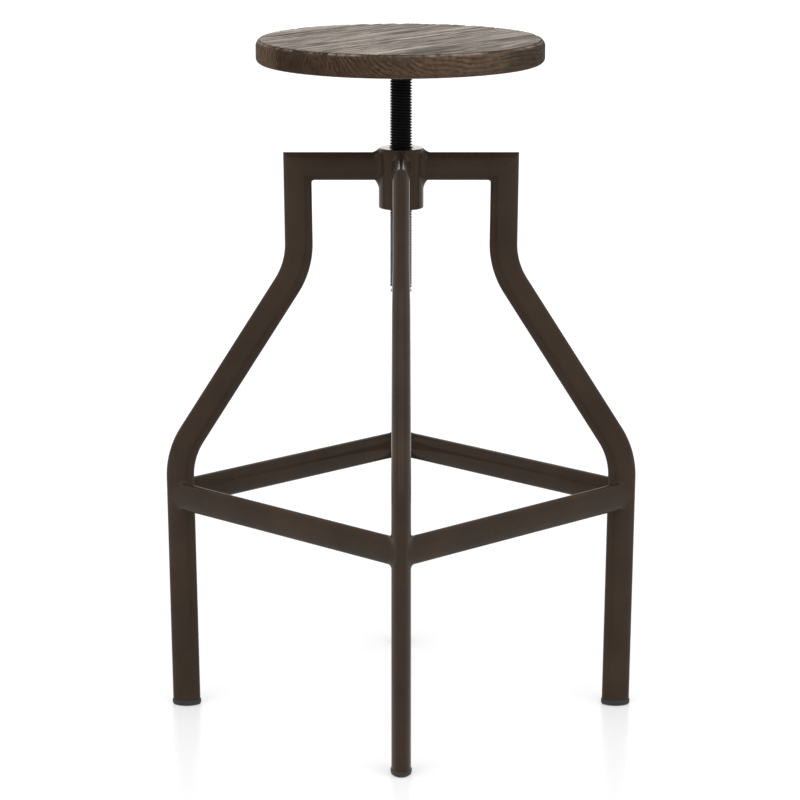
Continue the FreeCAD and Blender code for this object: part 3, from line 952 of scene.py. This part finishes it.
def wave(values, seed, period):
    """A smooth random curve between about -1 and 1: four sines with unrelated periods."""
    phases = np.random.default_rng(seed).uniform(0, 2 * math.pi, 4)
    total = 0
    for octave, phase in zip((1.0, 1.73, 2.9, 4.6), phases):
        total = total + np.sin(values * (2 * math.pi * octave / period) + phase) / octave**0.6
    return total / 2.3


def brushed_depth(along, over, low, seed):
    """How deep the brushing went, from 0 to about 1: long grooves that sway, fade and come back."""
    chance = np.random.default_rng(seed)
    depth = np.zeros_like(along)
    for number in range(groove_count):
        sizes = broad_groove if number < broad_grooves else fine_groove
        middle = low + stave_width * chance.uniform(0.0, 1.0)
        width = chance.uniform(*sizes["width"])
        strength = chance.uniform(*sizes["strength"])
        lean = chance.uniform(-0.02, 0.02)
        sway = lean * along + 0.0012 * wave(along, seed + 31 * number, 0.17)
        fade = np.clip(0.45 + 1.1 * wave(along, seed + 31 * number + 7, 0.21), 0, 1)
        depth = np.maximum(depth, strength * fade * np.exp(-(((over - middle - sway) / width) ** 2)))
    return depth


def rim_profile():
    """The edge of the seat from the top face to the under face, as (radius, height, normal angle)."""
    rows = []
    start = math.radians(seat_round_start)
    round_centre = seat_high - seat_round * math.sin(start)
    for angle in np.linspace(start, 0, 13):
        radius = seat_radius - seat_round * (1 - math.cos(angle))
        rows.append((radius, round_centre + seat_round * math.sin(angle), angle))
    low_centre = seat_low + seat_low_round
    for share in np.linspace(0, 1, 9)[1:-1]:
        rows.append((seat_radius, round_centre + share * (low_centre - round_centre), 0.0))
    for angle in np.radians(np.linspace(0, -90, 7)):
        radius = seat_radius - seat_low_round * (1 - math.cos(angle))
        rows.append((radius, low_centre + seat_low_round * math.sin(angle), angle))
    return np.array(rows)


def stave_mesh(name, number, pith):
    """Slices along a stave, each a closed outline, joined into a solid with brushed faces and a worn rim."""
    low = -seat_radius + stave_margin + number * stave_width
    edge = seat_radius - rim_margin
    first_turn = math.asin(max(low, -edge) / seat_radius)
    last_turn = math.asin(min(low + stave_width, edge) / seat_radius)
    turns = np.linspace(first_turn, last_turn, stave_slices)
    overs = seat_radius * np.sin(turns)[:, None]
    radii, heights, angles = rim_profile().T
    upper = len(radii) // 2
    top_limit = np.interp(abs(overs), radii[:upper], heights[:upper])
    low_limit = np.interp(-abs(overs), -radii[upper:], heights[upper:])
    reach = np.sqrt(np.maximum(radii**2 - overs**2, 0.0))
    level = np.clip(heights, low_limit, top_limit)
    top_row = np.linspace(-1, 1, top_points) * reach[:, :1]
    low_row = np.linspace(1, -1, low_points)[1:-1] * reach[:, -1:]
    along = np.hstack((top_row[:, :-1], reach, low_row, -reach[:, :0:-1]))
    rows = along.shape[1]
    top_level = np.repeat(level[:, :1], top_points - 1, 1)
    low_level = np.repeat(level[:, -1:], low_points - 2, 1)
    height = np.hstack((top_level, level, low_level, level[:, :0:-1]))
    top_tilt = np.full(top_points - 1, math.pi / 2)
    low_tilt = np.full(low_points - 2, -math.pi / 2)
    tilt = np.hstack((top_tilt, angles, low_tilt, angles[:0:-1]))
    over = np.repeat(overs, rows, 1)
    normal_up = np.sin(tilt)
    normal_out = np.cos(tilt)
    flat = along[..., None] * grain + over[..., None] * cross_grain
    from_axis = np.maximum(np.linalg.norm(flat, axis=-1), 1e-9)
    outer = flat / from_axis[..., None]
    turn = np.degrees(np.arctan2(flat[..., 1], flat[..., 0])) % 360

    groove = brushed_depth(along, over, low, 100 + 17 * number)
    if number == crack_stave:
        from_crack = along - crack_middle
        crack = np.clip(1.2 - abs(from_crack) / crack_half, 0, 1.2)
        beside = (over - crack_over - crack_lean * from_crack) / crack_width
        groove = np.maximum(groove, crack * np.exp(-(beside**2)))
    groove = groove * np.clip(normal_up + 0.25, 0, 1)
    near_edge = np.exp(-(((from_axis - radii[0]) / 0.0022) ** 2)) * np.clip(normal_up + 0.3, 0, 1)
    chip = 0.00025 * np.clip(wave(turn, 5, 9.0) - 0.25, 0, 1) * near_edge
    for middle, half, deep in edge_chips:
        chip = chip + deep * near_edge * np.exp(-(((turn - middle) / half) ** 4))
    pith_over = over - low - stave_width / 2 - pith[0]
    pith_height = height - seat_low - pith[1]
    rings = np.hypot(pith_over, pith_height) / ring_width
    ridges = np.sin(2 * math.pi * rings + 2 * wave(over, 9 + number, 0.02))
    relief = ring_relief * normal_out * (0.5 + 0.5 * ridges)
    hole_turn, hole_height, hole_size = nail_hole
    hole_far = np.hypot(np.radians(turn - hole_turn) * seat_radius, height - hole_height) / hole_size
    hole = np.clip(1.2 - hole_far, 0, 1)
    dent = groove * groove_depth + chip + relief + nail_hole_depth * hole

    upright = np.array((0, 0, 1))
    normal = outer * normal_out[:, None] + upright * normal_up[:, None]
    spots = flat + upright * height[..., None] - dent[..., None] * normal
    spots[..., 2] += seat_tilt * spots[..., 1]
    spots[..., 0] += seat_aside
    past_crease = from_axis - radii[0]
    # Painted shade: a thin dark line along the crease where the flat top turns into the rounded edge.
    crease = np.exp(-(((past_crease - 0.0005) / 0.0006) ** 2)) * (normal_up > 0.3)
    crease = crease * np.clip(0.75 + 0.5 * wave(turn, 6, 23.0), 0, 1)
    crest = np.exp(-(((past_crease - 0.0019) / 0.0008) ** 2)) * (normal_up > 0.3)
    rubbed = np.clip(0.45 + 0.8 * wave(turn, 3, 47.0) + 0.3 * wave(turn, 4, 5.0), 0, 1)
    wear = crest * rubbed * (1 - np.clip(chip / 0.0006, 0, 1)) * np.clip(1 - 1.5 * groove, 0, 1)
    # The darkening mask: brushed grooves, and painted shade along the crease, in the chips and in the nail
    # hole.
    dark = np.clip(groove + 0.6 * crease + 0.7 * np.clip(chip / 0.0008, 0, 1) + hole, 0, 1)
    # The rim's share: end grain on the outward faces, which are also painted darker as shade.
    ends = np.clip((normal_out - 0.30) / 0.15, 0, 1) * (0.92 + 0.08 * abs(outer @ grain))
    tones = ends * np.interp(turn, rim_turns, rim_tones) + (1 - ends) * stave_tones[number]

    count = len(overs)
    faces = [tuple(range(rows)), tuple(range((count - 1) * rows, count * rows))]
    for row in range(count - 1):
        for i in range(rows):
            j = (i + 1) % rows
            faces.append((row * rows + i, row * rows + j, (row + 1) * rows + j, (row + 1) * rows + i))
    mesh = bpy.data.meshes.new(name)
    mesh.from_pydata(spots.reshape(-1, 3).tolist(), [], faces)
    places = np.stack((along + number * 0.7, pith_over, pith_height), -1)
    mesh.attributes.new("grain_place", "FLOAT_VECTOR", "POINT").data.foreach_set("vector", places.ravel())
    for title, values in (("groove", dark), ("end_grain_and_painted_shade", ends), ("edge_wear", wear), ("tone", tones)):
        mesh.attributes.new(title, "FLOAT", "POINT").data.foreach_set("value", values.ravel())
    return closed(mesh)


seat_wood = brushed_wood()
for number, pith in enumerate(pith_places):
    name = "stave_%d" % (number + 1)
    mesh = stave_mesh(name, number, pith)
    fit(name, mesh, seat_wood, "seat", "seat_wood", "seat_stave_%d" % (number + 1), crease=50)


# Seat plate
# A round steel plate, welded to the top of the screw and held to the seat by four wood screws.
# The plate and its weld ring are lacquered like the frame, and the screws are zinc plated.

zinc_light = (0.55, 0.54, 0.50, 1)
zinc_cloud = (0.36, 0.35, 0.33, 1)


def zinc_plate():
    """Bright zinc on steel, slightly clouded."""
    material, tree, shader, place = new_finish("zinc_plate")
    cloud = put(tree, "ShaderNodeTexNoise", {"Vector": place, "Scale": 300, "Detail": 4})
    colour = ramp(tree, cloud.outputs["Fac"], [(0.35, zinc_cloud), (0.65, zinc_light)])
    tree.links.new(colour, shader.inputs["Base Color"])
    tree.links.new(spread(tree, cloud.outputs["Fac"], 0.25, 0.42), shader.inputs["Roughness"])
    shader.inputs["Metallic"].default_value = 1.0
    return material


for node_name, finish in (
    ("seat_plate", frame_lacquer),
    ("plate_weld", frame_lacquer),
    ("wood_screws", zinc_plate()),
):
    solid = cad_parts[node_name]
    solid.data.materials.clear()
    solid.data.materials.append(finish)


# Studio
# A pale floor that runs out to a white surround, with two large soft lamps above and in front of the stool.
# The metal mirrors the same white surround, and the camera stands where the photograph was taken from.

camera_distance = 3.430
camera_height = 1.0945
camera_aside = -0.0012
camera_pitch = math.radians(12.358)
camera_lens = 146.1
lamp_energy = 20
lamp_places = [(-1.30, -1.60, 2.70), (1.30, -1.60, 2.70)]
lamp_width = 2.0
lamp_length = 2.0
lamp_target = Vector((0, 0, 0.45))
surround_level = 0.62
floor_half = 30.0
floor_shade = (0.85, 0.85, 0.85, 1)
floor_near = 0.35
floor_far = 2.5
near_glow = 0.335
far_glow = 0.48


def shown_white(tree, level):
    """A level that is raised to 1 for rays from the camera, from gloss and through glass."""
    rays = put(tree, "ShaderNodeLightPath").outputs
    for kind in ("Is Camera Ray", "Is Glossy Ray", "Is Transmission Ray"):
        level = put(tree, "ShaderNodeMath", {0: level, 1: rays[kind]}, operation="MAXIMUM").outputs["Value"]
    return level


camera_data = bpy.data.cameras.new("camera")
camera_data.lens = camera_lens
camera = bpy.data.objects.new("camera", camera_data)
camera.location = (camera_aside, -camera_distance, camera_height)
camera.rotation_euler = (math.pi / 2 - camera_pitch, 0, 0)
bpy.context.scene.collection.objects.link(camera)
bpy.context.scene.camera = camera

for number, place in enumerate(lamp_places):
    lamp_data = bpy.data.lights.new("softbox_%d" % number, "AREA")
    lamp_data.shape = "RECTANGLE"
    lamp_data.size = lamp_width
    lamp_data.size_y = lamp_length
    lamp_data.energy = lamp_energy
    lamp = bpy.data.objects.new("softbox_%d" % number, lamp_data)
    lamp.location = place
    lamp.rotation_euler = (lamp_target - Vector(place)).to_track_quat("-Z", "Y").to_euler()
    bpy.context.scene.collection.objects.link(lamp)

world = bpy.data.worlds.new("surround")
bpy.context.scene.world = world
world.use_nodes = True
sky = world.node_tree
sky.nodes.clear()
glow = put(sky, "ShaderNodeBackground", {"Strength": shown_white(sky, surround_level)})
glow.inputs["Color"].default_value = (1, 1, 1, 1)
put(sky, "ShaderNodeOutputWorld", {"Surface": glow.outputs["Background"]})

floor_data = bpy.data.meshes.new("floor")
floor_corners = [(x * floor_half, y * floor_half, 0) for x, y in ((-1, -1), (1, -1), (1, 1), (-1, 1))]
floor_data.from_pydata(floor_corners, [], [(0, 1, 2, 3)])
floor = bpy.data.objects.new("floor", floor_data)
bpy.context.scene.collection.objects.link(floor)
pale, pale_tree, pale_shader, floor_place = new_finish("pale_floor")
pale_shader.inputs["Base Color"].default_value = floor_shade
pale_shader.inputs["Roughness"].default_value = 0.25
pale_shader.inputs["Specular IOR Level"].default_value = 0.3
pale_shader.inputs["Emission Color"].default_value = (1, 1, 1, 1)
far_off = put(pale_tree, "ShaderNodeVectorMath", {0: floor_place}, operation="LENGTH").outputs["Value"]
floor_glow = put(
    pale_tree,
    "ShaderNodeMapRange",
    {
        "Value": far_off,
        "From Min": floor_near,
        "From Max": floor_far,
        "To Min": near_glow,
        "To Max": far_glow,
    },
).outputs["Result"]
floor_shown = shown_white(pale_tree, 0.0)
lift_up = put(pale_tree, "ShaderNodeMath", {0: floor_shown, 1: floor_glow}, operation="MULTIPLY")
pale_tree.links.new(lift_up.outputs["Value"], pale_shader.inputs["Emission Strength"])
floor_data.materials.append(pale)

bpy.context.scene.view_settings.view_transform = "Standard"
